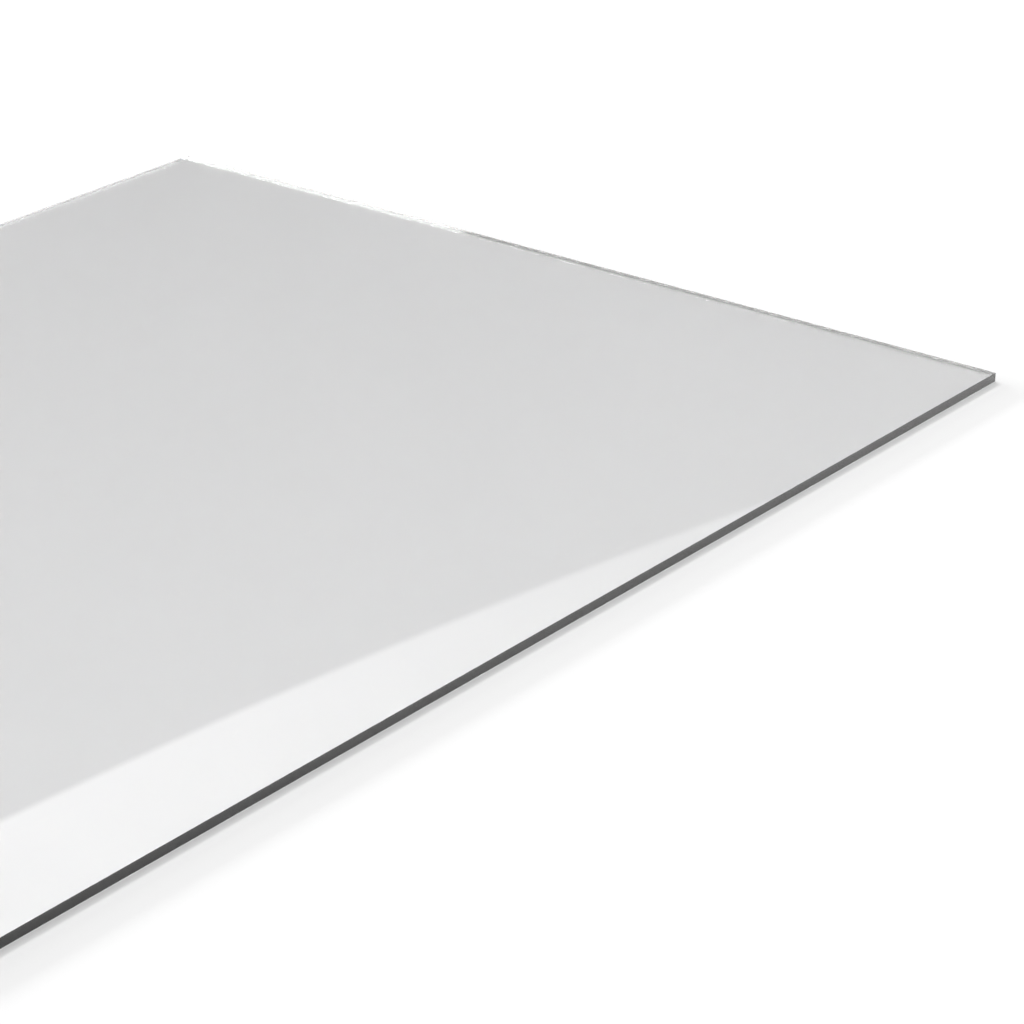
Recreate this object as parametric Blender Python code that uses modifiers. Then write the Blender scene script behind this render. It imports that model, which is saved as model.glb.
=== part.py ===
"""Clear cast acrylic sheet, cut to a paper-series size, with polished edges.

One piece of stock that lies flat. The origin is the middle of the underside,
+X runs along the long side, +Y across the sheet and +Z up through it.
The cut edges stand square to the faces. The four upright corners are just
taken off the point, and a small arris eases each rim where a face meets an
edge. All lengths are in metres.
"""

from math import radians

import bpy

PART_NAME = "clear_acrylic_sheet"
SHEET_NODE = "acrylic_sheet"

# Sheet as it is cut
SHEET_LENGTH = 0.841
SHEET_WIDTH = 0.594
SHEET_THICKNESS = 0.005

# Edge finish
CORNER_RADIUS = 0.0008
CORNER_SEGMENTS = 4
ARRIS_WIDTH = 0.00025
ARRIS_SEGMENTS = 2
RIM_ANGLE = radians(60.0)

# Clear cast acrylic
ACRYLIC_COLOUR = (0.95, 0.96, 0.96, 1.0)
ACRYLIC_ROUGHNESS = 0.03
ACRYLIC_IOR = 1.49


def clear_scene():
    """Remove whatever objects the file opened with."""
    for old in list(bpy.data.objects):
        bpy.data.objects.remove(old, do_unlink=True)


def make_collection(name):
    """A collection of the scene, to hold the finished part."""
    collection = bpy.data.collections.new(name)
    bpy.context.scene.collection.children.link(collection)
    return collection


def make_acrylic():
    """Clear, colourless acrylic with a polished surface."""
    material = bpy.data.materials.new("clear_acrylic")
    material.use_nodes = True
    shader = material.node_tree.nodes["Principled BSDF"]
    shader.inputs["Base Color"].default_value = ACRYLIC_COLOUR
    shader.inputs["Metallic"].default_value = 0.0
    shader.inputs["Roughness"].default_value = ACRYLIC_ROUGHNESS
    shader.inputs["IOR"].default_value = ACRYLIC_IOR
    shader.inputs["Transmission Weight"].default_value = 1.0
    return material


def make_blank(collection):
    """The sawn blank: a cube at the sheet's size, its underside on the origin."""
    middle = (0.0, 0.0, SHEET_THICKNESS / 2.0)
    bpy.ops.mesh.primitive_cube_add(size=1.0, location=middle)
    blank = bpy.context.active_object
    blank.name = SHEET_NODE
    blank.data.name = SHEET_NODE
    blank.scale = (SHEET_LENGTH, SHEET_WIDTH, SHEET_THICKNESS)
    bpy.ops.object.transform_apply(location=True, rotation=False, scale=True)
    for holder in list(blank.users_collection):
        holder.objects.unlink(blank)
    collection.objects.link(blank)
    return blank


def mark_upright_corners(mesh):
    """Give a bevel weight of 1 to the edges that run up from face to face."""
    weights = mesh.attributes.new("bevel_weight_edge", "FLOAT", "EDGE")
    for edge in mesh.edges:
        start, end = (mesh.vertices[index].co for index in edge.vertices)
        is_upright = abs(end.z - start.z) > SHEET_THICKNESS / 2.0
        weights.data[edge.index].value = float(is_upright)


def round_corners(sheet):
    """Round the four upright corners."""
    mark_upright_corners(sheet.data)
    corners = sheet.modifiers.new("corner_radius", "BEVEL")
    corners.limit_method = "WEIGHT"
    corners.width = CORNER_RADIUS
    corners.segments = CORNER_SEGMENTS


def ease_rims(sheet):
    """Run a small arris round both faces, where they meet the cut edges."""
    arris = sheet.modifiers.new("arris", "BEVEL")
    arris.limit_method = "ANGLE"
    arris.angle_limit = RIM_ANGLE
    arris.width = ARRIS_WIDTH
    arris.segments = ARRIS_SEGMENTS


def make_sheet(collection):
    """The finished sheet: sawn, corners rounded, rims eased, then polished."""
    sheet = make_blank(collection)
    round_corners(sheet)
    ease_rims(sheet)
    sheet.data.materials.append(make_acrylic())
    return sheet


def main():
    clear_scene()
    part = make_collection(PART_NAME)
    make_sheet(part)


main()
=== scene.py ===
"""Looks of a clear acrylic sheet that lies flat in soft studio light.

The file is laid out as an add-on and is run as a script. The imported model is
the frame: the sheet's length, width and thickness come from it. The visible
sheet is one closed surface worked out with numpy, with rounded corners, a
small arris along each rim and one material for its faces and its cut edges.
All lengths are in metres and all angles in degrees, turned left from +X.
"""

from math import cos, pi, radians, sin

import bpy
import numpy as np
from bpy.props import FloatProperty, FloatVectorProperty, PointerProperty
from bpy.types import Operator, Panel, PropertyGroup
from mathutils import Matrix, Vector


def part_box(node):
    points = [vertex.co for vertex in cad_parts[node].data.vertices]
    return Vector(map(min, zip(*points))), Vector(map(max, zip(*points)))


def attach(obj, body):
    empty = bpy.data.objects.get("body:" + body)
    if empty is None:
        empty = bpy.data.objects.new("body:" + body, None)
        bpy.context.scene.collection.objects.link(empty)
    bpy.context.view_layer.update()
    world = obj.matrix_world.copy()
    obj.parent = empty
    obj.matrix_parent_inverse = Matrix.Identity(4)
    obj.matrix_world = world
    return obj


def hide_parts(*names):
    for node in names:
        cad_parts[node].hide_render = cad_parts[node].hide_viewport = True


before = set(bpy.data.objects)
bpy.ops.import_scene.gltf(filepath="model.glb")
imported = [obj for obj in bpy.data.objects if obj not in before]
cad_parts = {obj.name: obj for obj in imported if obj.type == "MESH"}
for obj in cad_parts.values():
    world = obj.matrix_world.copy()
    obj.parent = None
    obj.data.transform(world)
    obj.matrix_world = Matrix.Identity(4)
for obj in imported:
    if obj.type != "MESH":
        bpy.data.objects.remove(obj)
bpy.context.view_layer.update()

bl_info = {
    "name": "Clear acrylic sheet",
    "version": (1, 0, 0),
    "blender": (4, 5, 0),
    "location": "3D View > Sidebar > Acrylic",
    "description": "Builds a clear acrylic sheet with polished edges and a studio to show it in",
    "category": "Object",
}

NODE = "acrylic_sheet"
SHEET_LOW, SHEET_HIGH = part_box(NODE)
LENGTH, WIDTH, THICKNESS = SHEET_HIGH - SHEET_LOW

# Steps of the rounded forms
CORNER_STEPS = 8
ARRIS_STEPS = 6
LAMP_STEPS = 64

# Levels of an edge's mark between which the edge finish sets in
EDGE_START = 0.2
EDGE_FULL = 0.9

# Noise: features per metre along and across the polish lines, and on the faces
POLISH_SCALE = (25.0, 2500.0, 1.0)
POLISH_DETAIL = 3.0
WAVE_SCALE = (6.0, 6.0, 1.0)
WAVE_DETAIL = 1.0

# Levels of the polish lines' noise, and the shares of satin and roughness at those levels
LINE_LEVELS = (0.3, 0.7)
SATIN_SHARES = (0.85, 1.15)
ROUGH_SHARES = (0.5, 1.5)

# Floor
FLOOR_HALF = 12.0
FLOOR_GAP = 0.00003

# Camera
CAMERA_PLACE = (-1.1102, -1.1698, 0.7087)
CAMERA_HEADING = 38.205
CAMERA_PITCH = 24.28
FOCAL_PIXELS = 3484.0
IMAGE_PIXELS = 1024.0
SENSOR_WIDTH = 36.0

# Lamps: middle, the point that each one faces, and width and height
KEY_PLACE = (12.0, 15.0, 16.5)
KEY_AIM = (12.0, 0.0, 0.0)
KEY_SIZE = (22.0, 4.4)
LOW_PLACE = (-6.0, 15.0, 2.75)
LOW_AIM = (-6.0, 0.0, 0.0)
LOW_SIZE = (32.0, 1.4)
GLOW_PLACE = (-6.0, 15.0, 5.2)
GLOW_AIM = (-6.0, 0.0, 0.0)
GLOW_SIZE = (32.0, 4.4)
RIM_PLACE = (-9.792, 9.880, 5.01)
RIM_AIM = (0.42, 0.1, 0.0)
RIM_SIZE = (2.37, 1.83)
SIDE_PLACE = (9.60, -9.98, 4.95)
SIDE_AIM = (-0.15, 0.29, 0.0)
SIDE_SIZE = (2.23, 1.70)
CORNER_PLACE = (-9.89, -9.70, 4.76)
CORNER_AIM = (0.42, 0.1, 0.0)
CORNER_SIZE = (0.5, 0.5)
FILL_PLACE = (1.1, -0.9, 0.8)
FILL_AIM = (0.4, -0.3, 0.0)
FILL_SIZE = (0.6, 0.4)

# Overhead light, a round patch of the sky whose rim is dim at its right and bright at its left
SKY_TILT = 19.6
SKY_TILT_HEADING = CAMERA_HEADING - 90.0
SKY_RIM = 65.9
SKY_FULL = 61.9
SKY_RIM_SOFTNESS = 0.0012
SKY_LEFT_HEADING = CAMERA_HEADING + 90.0
SKY_RIGHT_EDGE = -0.05
SKY_LEFT_EDGE = 0.12
SKY_RIGHT_LIGHT = 0.48
SKY_LEFT_LIGHT = 1.08

# Most light that one bounced ray may bring back, enough for the small lamps seen in the far edges
BOUNCED_LIGHT_LIMIT = 50.0


def direction(heading, elevation):
    """Unit vector at a heading, turned left from +X, and an elevation above the floor."""
    flat = cos(radians(elevation))
    return Vector((cos(radians(heading)) * flat, sin(radians(heading)) * flat, sin(radians(elevation))))


def add_node(tree, kind, **settings):
    """Add a node to a node tree and set its properties."""
    node = tree.nodes.new(kind)
    for name, value in settings.items():
        setattr(node, name, value)
    return node


def ramp(tree, value, start, end, low, high, smooth=False):
    """Map a value to a range, held at both ends."""
    node = add_node(tree, "ShaderNodeMapRange", interpolation_type="SMOOTHSTEP" if smooth else "LINEAR")
    tree.links.new(value, node.inputs["Value"])
    for name, number in (("From Min", start), ("From Max", end), ("To Min", low), ("To Max", high)):
        node.inputs[name].default_value = number
    return node.outputs["Result"]


def calculate(tree, operation, *values):
    """Result of a sum on sockets or plain numbers."""
    node = add_node(tree, "ShaderNodeMath", operation=operation)
    for socket, value in zip(node.inputs, values):
        if isinstance(value, float):
            socket.default_value = value
        else:
            tree.links.new(value, socket)
    return node.outputs["Value"]


def along(tree, place, axis):
    """How far a vector reaches along an axis: their dot product."""
    node = add_node(tree, "ShaderNodeVectorMath", operation="DOT_PRODUCT")
    tree.links.new(place, node.inputs[0])
    node.inputs[1].default_value = axis
    return node.outputs["Value"]


def noise(tree, place, scale, detail):
    """Cloudy pattern from 0 to 1 with its own scale, in features per metre, along each axis."""
    stretch = add_node(tree, "ShaderNodeMapping")
    stretch.inputs["Scale"].default_value = scale
    tree.links.new(place, stretch.inputs["Vector"])
    pattern = add_node(tree, "ShaderNodeTexNoise")
    pattern.inputs["Scale"].default_value = 1.0
    pattern.inputs["Detail"].default_value = detail
    tree.links.new(stretch.outputs["Vector"], pattern.inputs["Vector"])
    return pattern.outputs["Fac"]


def rounded_outline(length, width, radius, steps):
    """Outline of a rectangle with round corners, and its outward normals.

    Each corner is a quarter circle, centre + radius * (cos a, sin a), where a
    runs over a quarter turn, and the four quarters follow one another
    anticlockwise, so the straight sides are the joins between them.
    """
    turn = np.linspace(0.0, pi / 2.0, steps + 1)
    corner = np.arange(4)[:, None]
    angle = (corner * pi / 2.0 + turn[None, :]).ravel()
    normal = np.stack([np.cos(angle), np.sin(angle)], axis=1)
    side = np.repeat(np.array([(1, 1), (-1, 1), (-1, -1), (1, -1)]), steps + 1, axis=0)
    centre = side * np.array([length / 2.0 - radius, width / 2.0 - radius])
    return centre + radius * normal, normal


def edge_section(thickness, arris, steps):
    """Section of a cut edge from the top face to the underside.

    Returns (inset, height) pairs and (outward, upward) normals. Each arris is
    a quarter circle: inset = arris * (1 - cos a), and the height falls from
    the face by arris * (1 - sin a), where a runs from a quarter turn to 0.
    """
    turn = np.linspace(pi / 2.0, 0.0, steps + 1)
    inset = arris * (1.0 - np.cos(turn))
    drop = arris * (1.0 - np.sin(turn))
    upper = np.stack([inset, thickness - drop], axis=1)
    lower = np.stack([inset[::-1], drop[::-1]], axis=1)
    upper_normal = np.stack([np.cos(turn), np.sin(turn)], axis=1)
    lower_normal = upper_normal[::-1] * np.array([1.0, -1.0])
    return np.concatenate([upper, lower]), np.concatenate([upper_normal, lower_normal])


def build_sheet(settings):
    """One closed surface: the edge section carried round the outline, closed by two flat faces."""
    outline, out = rounded_outline(LENGTH, WIDTH, settings.corner_radius, CORNER_STEPS)
    section, lift = edge_section(THICKNESS, settings.arris, ARRIS_STEPS)
    around, down = len(outline), len(section)
    place = np.empty((down, around, 3))
    place[..., :2] = outline[None] - section[:, None, :1] * out[None]
    place[..., 2] = SHEET_LOW.z + section[:, None, 1]
    normal = np.empty((down, around, 3))
    normal[..., :2] = lift[:, None, :1] * out[None]
    normal[..., 2] = lift[:, None, 1]
    here = np.arange(around)
    after = np.roll(here, -1)
    ring = np.arange(down - 1)[:, None] * around
    quads = np.stack([ring + here, ring + around + here, ring + around + after, ring + after], axis=-1)
    last = (down - 1) * around
    faces = quads.reshape(-1, 4).tolist() + [here.tolist(), (last + here[::-1]).tolist()]
    mesh = bpy.data.meshes.new("clear_sheet")
    mesh.from_pydata(place.reshape(-1, 3).tolist(), [], faces)
    mesh.update()
    mesh.polygons.foreach_set("use_smooth", np.ones(len(mesh.polygons), bool))
    mesh.normals_split_custom_set_from_vertices(normal.reshape(-1, 3).tolist())
    mark_edges(mesh, lift, out)
    lay_out_surface(mesh, outline, section)
    sheet = bpy.data.objects.new("clear_sheet", mesh)
    bpy.context.scene.collection.objects.link(sheet)
    return sheet


def mark_edges(mesh, lift, out):
    """Attributes from the surface's normal: 0 on the two faces, and on the edges as follows.

    cut_edge is the level part of the normal, 1 on every cut edge, and
    long_edge is that part times the size of its Y share, 1 on the long edges
    and 0 on the ends.
    """
    marks = {"cut_edge": np.ones(len(out)), "long_edge": np.abs(out[:, 1])}
    for name, share in marks.items():
        mark = mesh.attributes.new(name, "FLOAT", "POINT")
        mark.data.foreach_set("value", np.outer(lift[:, 0], share).astype(np.float32).ravel())


def lay_out_surface(mesh, outline, section):
    """UV map in metres: (x, y) on the two faces, and (distance round, distance down) on the cut edges."""
    side_step = np.linalg.norm(np.roll(outline, -1, axis=0) - outline, axis=1)
    down_step = np.linalg.norm(np.diff(section, axis=0), axis=1)
    distance = np.concatenate([[0.0], np.cumsum(side_step)])
    fall = np.concatenate([[0.0], np.cumsum(down_step)])
    grid = np.stack(np.meshgrid(distance, fall), axis=-1)
    corners = (grid[:-1, :-1], grid[1:, :-1], grid[1:, 1:], grid[:-1, 1:])
    edges = np.stack(corners, axis=2).reshape(-1, 2)
    faces = np.concatenate([outline, outline[::-1]])
    layer = mesh.uv_layers.new(name="surface")
    layer.uv.foreach_set("vector", np.concatenate([edges, faces]).astype(np.float32).ravel())


def edge_mark(tree, name):
    """Share of an edge's finish at a point, from one of the surface's marks."""
    mark = add_node(tree, "ShaderNodeAttribute", attribute_name=name)
    return ramp(tree, mark.outputs["Fac"], EDGE_START, EDGE_FULL, 0.0, 1.0)


def edge_scatter_and_painted_light(tree, settings, place, edge, lines):
    """Share of light that the cut edges scatter.

    On a long edge it rises evenly from -X to +X, a painted brightening where more light falls
    on the right; on a short edge it is even, and on both the polish lines vary it a little.
    """
    apart = add_node(tree, "ShaderNodeSeparateXYZ")
    tree.links.new(place, apart.inputs["Vector"])
    ends = (settings.satin_and_painted_light_left, settings.satin_and_painted_light_right)
    # Painted light: the long edges' scatter rises from -X to +X to paint the brighter light at the right
    # end.
    satin = ramp(tree, apart.outputs["X"], -LENGTH / 2.0, LENGTH / 2.0, *ends)
    long_share = calculate(tree, "MULTIPLY", satin, edge_mark(tree, "long_edge"))
    share = calculate(tree, "MAXIMUM", long_share, settings.satin_end)
    varied = calculate(tree, "MULTIPLY", share, ramp(tree, lines, *LINE_LEVELS, *SATIN_SHARES))
    return calculate(tree, "MULTIPLY", edge, varied)


def edge_roughness(tree, settings, edge, lines):
    """Roughness of the cut edges, which the polish lines vary, and none on the faces."""
    low, high = (share * settings.edge_roughness for share in ROUGH_SHARES)
    return calculate(tree, "MULTIPLY", edge, ramp(tree, lines, *LINE_LEVELS, low, high))


def surface_relief(tree, settings, place, edge, lines):
    """Normal of the faintly wavy faces and of the polish lines on the cut edges."""
    waves = calculate(tree, "MULTIPLY", noise(tree, place, WAVE_SCALE, WAVE_DETAIL), settings.face_waves)
    edge_lines = calculate(tree, "MULTIPLY", edge, lines)
    ridges = calculate(tree, "MULTIPLY", edge_lines, settings.polish_depth)
    bump = add_node(tree, "ShaderNodeBump")
    bump.inputs["Distance"].default_value = 1.0
    tree.links.new(calculate(tree, "ADD", waves, ridges), bump.inputs["Height"])
    return bump.outputs["Normal"]


def clear_acrylic(settings):
    """Clear cast acrylic: faintly wavy faces, and cut edges whose polish lines run along them."""
    material = bpy.data.materials.new("polished_acrylic")
    material.use_nodes = True
    tree = material.node_tree
    shader = tree.nodes["Principled BSDF"]
    shader.inputs["Base Color"].default_value = (1.0, 1.0, 1.0, 1.0)
    shader.inputs["IOR"].default_value = settings.ior
    place = add_node(tree, "ShaderNodeTexCoord").outputs["Object"]
    layout = add_node(tree, "ShaderNodeUVMap", uv_map="surface").outputs["UV"]
    edge = edge_mark(tree, "cut_edge")
    lines = noise(tree, layout, POLISH_SCALE, POLISH_DETAIL)
    # Cut edges scatter a little white: a satin finish, plus painted light that brightens the long edges
    # towards +X.
    scatter = edge_scatter_and_painted_light(tree, settings, place, edge, lines)
    tree.links.new(edge_roughness(tree, settings, edge, lines), shader.inputs["Roughness"])
    tree.links.new(calculate(tree, "SUBTRACT", 1.0, scatter), shader.inputs["Transmission Weight"])
    tree.links.new(surface_relief(tree, settings, place, edge, lines), shader.inputs["Normal"])
    bulk = add_node(tree, "ShaderNodeVolumeAbsorption")
    bulk.inputs["Color"].default_value = (*settings.body_colour, 1.0)
    bulk.inputs["Density"].default_value = settings.body_density
    tree.links.new(bulk.outputs["Volume"], tree.nodes["Material Output"].inputs["Volume"])
    return material


def pale_floor(settings):
    """Matt, nearly white floor."""
    material = bpy.data.materials.new("pale_floor")
    material.use_nodes = True
    shader = material.node_tree.nodes["Principled BSDF"]
    shader.inputs["Base Color"].default_value = (*settings.floor_colour, 1.0)
    shader.inputs["Roughness"].default_value = 1.0
    shader.inputs["Specular IOR Level"].default_value = 0.0
    return material


def build_floor(settings):
    """Level square, a fraction of a millimetre below the sheet."""
    side = np.array([(-1, -1), (1, -1), (1, 1), (-1, 1)]) * FLOOR_HALF
    place = np.column_stack([side, np.full(4, SHEET_LOW.z - FLOOR_GAP)])
    mesh = bpy.data.meshes.new("floor")
    mesh.from_pydata(place.tolist(), [], [(0, 1, 2, 3)])
    mesh.materials.append(pale_floor(settings))
    floor = bpy.data.objects.new("floor", mesh)
    bpy.context.scene.collection.objects.link(floor)


def lamp_power(place, aim, size, share):
    """Power of a lamp that gives the floor's middle a share of the light of an all-white sky.

    An element of the lamp at distance r lights the floor by
    radiance * lamp cosine * floor cosine / r squared, and the sky by pi. The
    lamp is an ellipse, as high at each step as the root of 1 - step squared.
    """
    facing = np.array(aim) - np.array(place)
    facing /= np.linalg.norm(facing)
    across = np.cross(facing, (0.0, 0.0, 1.0))
    across /= np.linalg.norm(across)
    step = (np.arange(LAMP_STEPS) + 0.5) / LAMP_STEPS - 0.5
    height = np.sqrt(1.0 - (2.0 * step) ** 2)
    element = np.array(place) + step[:, None] * size[0] * across
    r = np.linalg.norm(element, axis=1)
    area = pi / 4.0 * size[0] * size[1]
    light = np.average((-element @ facing / r) * (element[:, 2] / r) / r ** 2, weights=height) * area
    radiance = share * pi / light
    return radiance * pi * area


def add_lamp(name, place, aim, size, share, seen_through=True):
    """Level elliptical lamp, hidden from the camera, and where set so, from what looks through the sheet."""
    lamp = bpy.data.lights.new(name, "AREA")
    lamp.shape = "ELLIPSE"
    lamp.size, lamp.size_y = size
    lamp.energy = lamp_power(place, aim, size, share)
    holder = bpy.data.objects.new(name, lamp)
    holder.location = place
    holder.rotation_euler = (Vector(place) - Vector(aim)).to_track_quat("Z", "Y").to_euler()
    holder.visible_camera = False
    holder.visible_transmission = seen_through
    bpy.context.scene.collection.objects.link(holder)


def studio_sky(settings):
    """Round overhead light, tilted to one side, on a dark surround that the camera sees as pale.

    Its strength follows the cosine of the angle from its middle: none outside
    the rim, then the rim's own light, which turns evenly into 1 a little
    further in, and the crown's share is added towards the middle. The rim's
    own light rises evenly from its right to its left.
    """
    world = bpy.data.worlds.new("studio")
    bpy.context.scene.world = world
    world.use_nodes = True
    tree = world.node_tree
    background = tree.nodes["Background"]
    look = add_node(tree, "ShaderNodeTexCoord").outputs["Generated"]
    cosine = along(tree, look, direction(SKY_TILT_HEADING, 90.0 - SKY_TILT))
    leftward = along(tree, look, direction(SKY_LEFT_HEADING, 0.0))
    rim, full = cos(radians(SKY_RIM)), cos(radians(SKY_FULL))
    inside = ramp(tree, cosine, rim - SKY_RIM_SOFTNESS, rim + SKY_RIM_SOFTNESS, 0.0, 1.0, smooth=True)
    rim_light = ramp(tree, leftward, SKY_RIGHT_EDGE, SKY_LEFT_EDGE, SKY_RIGHT_LIGHT, SKY_LEFT_LIGHT)
    rise = calculate(tree, "MULTIPLY", ramp(tree, cosine, rim, full, 0.0, 1.0),
                     calculate(tree, "SUBTRACT", 1.0, rim_light))
    light = calculate(tree, "MULTIPLY", inside, calculate(tree, "ADD", rim_light, rise))
    light = calculate(tree, "ADD", light, ramp(tree, cosine, full, 1.0, 0.0, settings.crown))
    path = add_node(tree, "ShaderNodeLightPath")
    shown = calculate(tree, "MAXIMUM", light, path.outputs["Is Camera Ray"])
    tree.links.new(shown, background.inputs["Strength"])
    background.inputs["Color"].default_value = (1.0, 1.0, 1.0, 1.0)


def set_camera():
    """Camera at the photo's viewing angle, with no roll and no shift."""
    data = bpy.data.cameras.new("camera")
    data.sensor_width = SENSOR_WIDTH
    data.lens = FOCAL_PIXELS * SENSOR_WIDTH / IMAGE_PIXELS
    camera = bpy.data.objects.new("camera", data)
    camera.location = CAMERA_PLACE
    camera.rotation_euler = direction(CAMERA_HEADING, -CAMERA_PITCH).to_track_quat("-Z", "Y").to_euler()
    bpy.context.scene.collection.objects.link(camera)
    bpy.context.scene.camera = camera


class AcrylicSheetSettings(PropertyGroup):
    """Sizes and colours of the sheet's finish."""

    corner_radius: FloatProperty(
        name="Corner radius", description="Radius of the four upright corners",
        default=0.0004, min=0.0003, max=0.02, unit="LENGTH", precision=5,
    )
    arris: FloatProperty(
        name="Arris", description="Width of the rounding where a face meets a cut edge",
        default=0.00015, min=0.00005, max=0.001, unit="LENGTH", precision=5,
    )
    ior: FloatProperty(
        name="Refractive index", description="Refractive index of cast acrylic",
        default=1.49, min=1.0, max=2.0,
    )
    edge_roughness: FloatProperty(
        name="Edge roughness", description="Roughness of the polished cut edges",
        default=0.02, min=0.0, max=1.0, subtype="FACTOR",
    )
    # The long edges' satin at each end; its rise from left to right is painted light, not a change of
    # finish.
    satin_and_painted_light_left: FloatProperty(
        name="Long edge satin, left",
        description="Share of light that the long edges scatter at their -X end",
        default=0.043, min=0.0, max=1.0, subtype="FACTOR",
    )
    satin_and_painted_light_right: FloatProperty(
        name="Long edge satin, right",
        description="Share of light that the long edges scatter at their +X end",
        default=0.155, min=0.0, max=1.0, subtype="FACTOR",
    )
    satin_end: FloatProperty(
        name="Short edge satin", description="Share of light that the short edges scatter",
        default=0.05, min=0.0, max=1.0, subtype="FACTOR",
    )
    polish_depth: FloatProperty(
        name="Polish depth", description="Height of the polish lines on the cut edges",
        default=0.0000005, min=0.0, max=0.0001, unit="LENGTH", precision=6,
    )
    face_waves: FloatProperty(
        name="Face waves", description="Height of the faint waves of the cast faces",
        default=0.000004, min=0.0, max=0.001, unit="LENGTH", precision=6,
    )
    body_colour: FloatVectorProperty(
        name="Body colour", description="Colour that the thickness of the sheet takes on",
        default=(0.38, 0.46, 0.44), min=0.0, max=1.0, subtype="COLOR", size=3,
    )
    body_density: FloatProperty(
        name="Body density", description="How fast light fades inside the sheet, per metre",
        default=1.5, min=0.0, max=50.0,
    )


class AcrylicStageSettings(PropertyGroup):
    """Colour of the floor and the strength of each light."""

    floor_colour: FloatVectorProperty(
        name="Floor", description="Colour of the floor",
        default=(0.8, 0.8, 0.8), min=0.0, max=1.0, subtype="COLOR", size=3,
    )
    key_share: FloatProperty(
        name="Key light", description="Share of full white that the high lamp adds on the floor",
        default=0.26, min=0.0, max=2.0, subtype="FACTOR",
    )
    low_share: FloatProperty(
        name="Low light", description="Share of full white that the low lamp adds on the floor",
        default=0.16, min=0.0, max=2.0, subtype="FACTOR",
    )
    glow_share: FloatProperty(
        name="Glow light",
        description="Share of full white that the dim lamp above the low one adds on the floor",
        default=0.05, min=0.0, max=2.0, subtype="FACTOR",
    )
    rim_share: FloatProperty(
        name="Rim light", description="Share of full white that the small lamp behind the left end adds",
        default=0.008, min=0.0, max=2.0, subtype="FACTOR",
    )
    side_share: FloatProperty(
        name="Side light", description="Share of full white that the small lamp at the right side adds",
        default=0.0025, min=0.0, max=2.0, subtype="FACTOR",
    )
    corner_share: FloatProperty(
        name="Corner light", description="Share of full white that the small lamp behind the camera adds",
        default=0.0045, min=0.0, max=2.0, subtype="FACTOR",
    )
    fill_share: FloatProperty(
        name="Fill light", description="Share of full white that the near lamp at the front right adds",
        default=0.018, min=0.0, max=2.0, subtype="FACTOR",
    )
    crown: FloatProperty(
        name="Crown", description="Extra strength in the middle of the overhead light",
        default=0.02, min=-1.0, max=2.0, subtype="FACTOR",
    )


class ACRYLIC_OT_make_sheet(Operator):
    """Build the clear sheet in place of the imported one"""

    bl_idname = "acrylic.make_sheet"
    bl_label = "Clear sheet"

    def execute(self, context):
        settings = context.scene.acrylic_sheet
        sheet = build_sheet(settings)
        sheet.data.materials.append(clear_acrylic(settings))
        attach(sheet, "root")
        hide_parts(NODE)
        return {"FINISHED"}


class ACRYLIC_OT_make_stage(Operator):
    """Build the floor, the lamps, the sky and the camera"""

    bl_idname = "acrylic.make_stage"
    bl_label = "Studio"

    def execute(self, context):
        settings = context.scene.acrylic_stage
        build_floor(settings)
        studio_sky(settings)
        add_lamp("key_lamp", KEY_PLACE, KEY_AIM, KEY_SIZE, settings.key_share)
        add_lamp("low_lamp", LOW_PLACE, LOW_AIM, LOW_SIZE, settings.low_share, seen_through=False)
        add_lamp("glow_lamp", GLOW_PLACE, GLOW_AIM, GLOW_SIZE, settings.glow_share)
        add_lamp("rim_lamp", RIM_PLACE, RIM_AIM, RIM_SIZE, settings.rim_share)
        add_lamp("side_lamp", SIDE_PLACE, SIDE_AIM, SIDE_SIZE, settings.side_share)
        add_lamp("corner_lamp", CORNER_PLACE, CORNER_AIM, CORNER_SIZE, settings.corner_share)
        add_lamp("fill_lamp", FILL_PLACE, FILL_AIM, FILL_SIZE, settings.fill_share)
        set_camera()
        context.scene.view_settings.view_transform = "Standard"
        context.scene.cycles.blur_glossy = 0.0
        context.scene.cycles.sample_clamp_indirect = BOUNCED_LIGHT_LIMIT
        return {"FINISHED"}


class ACRYLIC_PT_panel(Panel):
    """Sizes, colours and operators of the sheet and its studio"""

    bl_idname = "ACRYLIC_PT_panel"
    bl_label = "Clear acrylic sheet"
    bl_space_type = "VIEW_3D"
    bl_region_type = "UI"
    bl_category = "Acrylic"

    def draw(self, context):
        for settings, operator in ((context.scene.acrylic_sheet, ACRYLIC_OT_make_sheet),
                                   (context.scene.acrylic_stage, ACRYLIC_OT_make_stage)):
            box = self.layout.box()
            for name in type(settings).__annotations__:
                box.prop(settings, name)
            box.operator(operator.bl_idname)


CLASSES = (
    AcrylicSheetSettings,
    AcrylicStageSettings,
    ACRYLIC_OT_make_sheet,
    ACRYLIC_OT_make_stage,
    ACRYLIC_PT_panel,
)


def register():
    for cls in CLASSES:
        bpy.utils.register_class(cls)
    bpy.types.Scene.acrylic_sheet = PointerProperty(type=AcrylicSheetSettings)
    bpy.types.Scene.acrylic_stage = PointerProperty(type=AcrylicStageSettings)


def unregister():
    del bpy.types.Scene.acrylic_stage
    del bpy.types.Scene.acrylic_sheet
    for cls in reversed(CLASSES):
        bpy.utils.unregister_class(cls)


def main():
    register()
    bpy.ops.acrylic.make_sheet()
    bpy.ops.acrylic.make_stage()


if __name__ == "__main__":
    main()
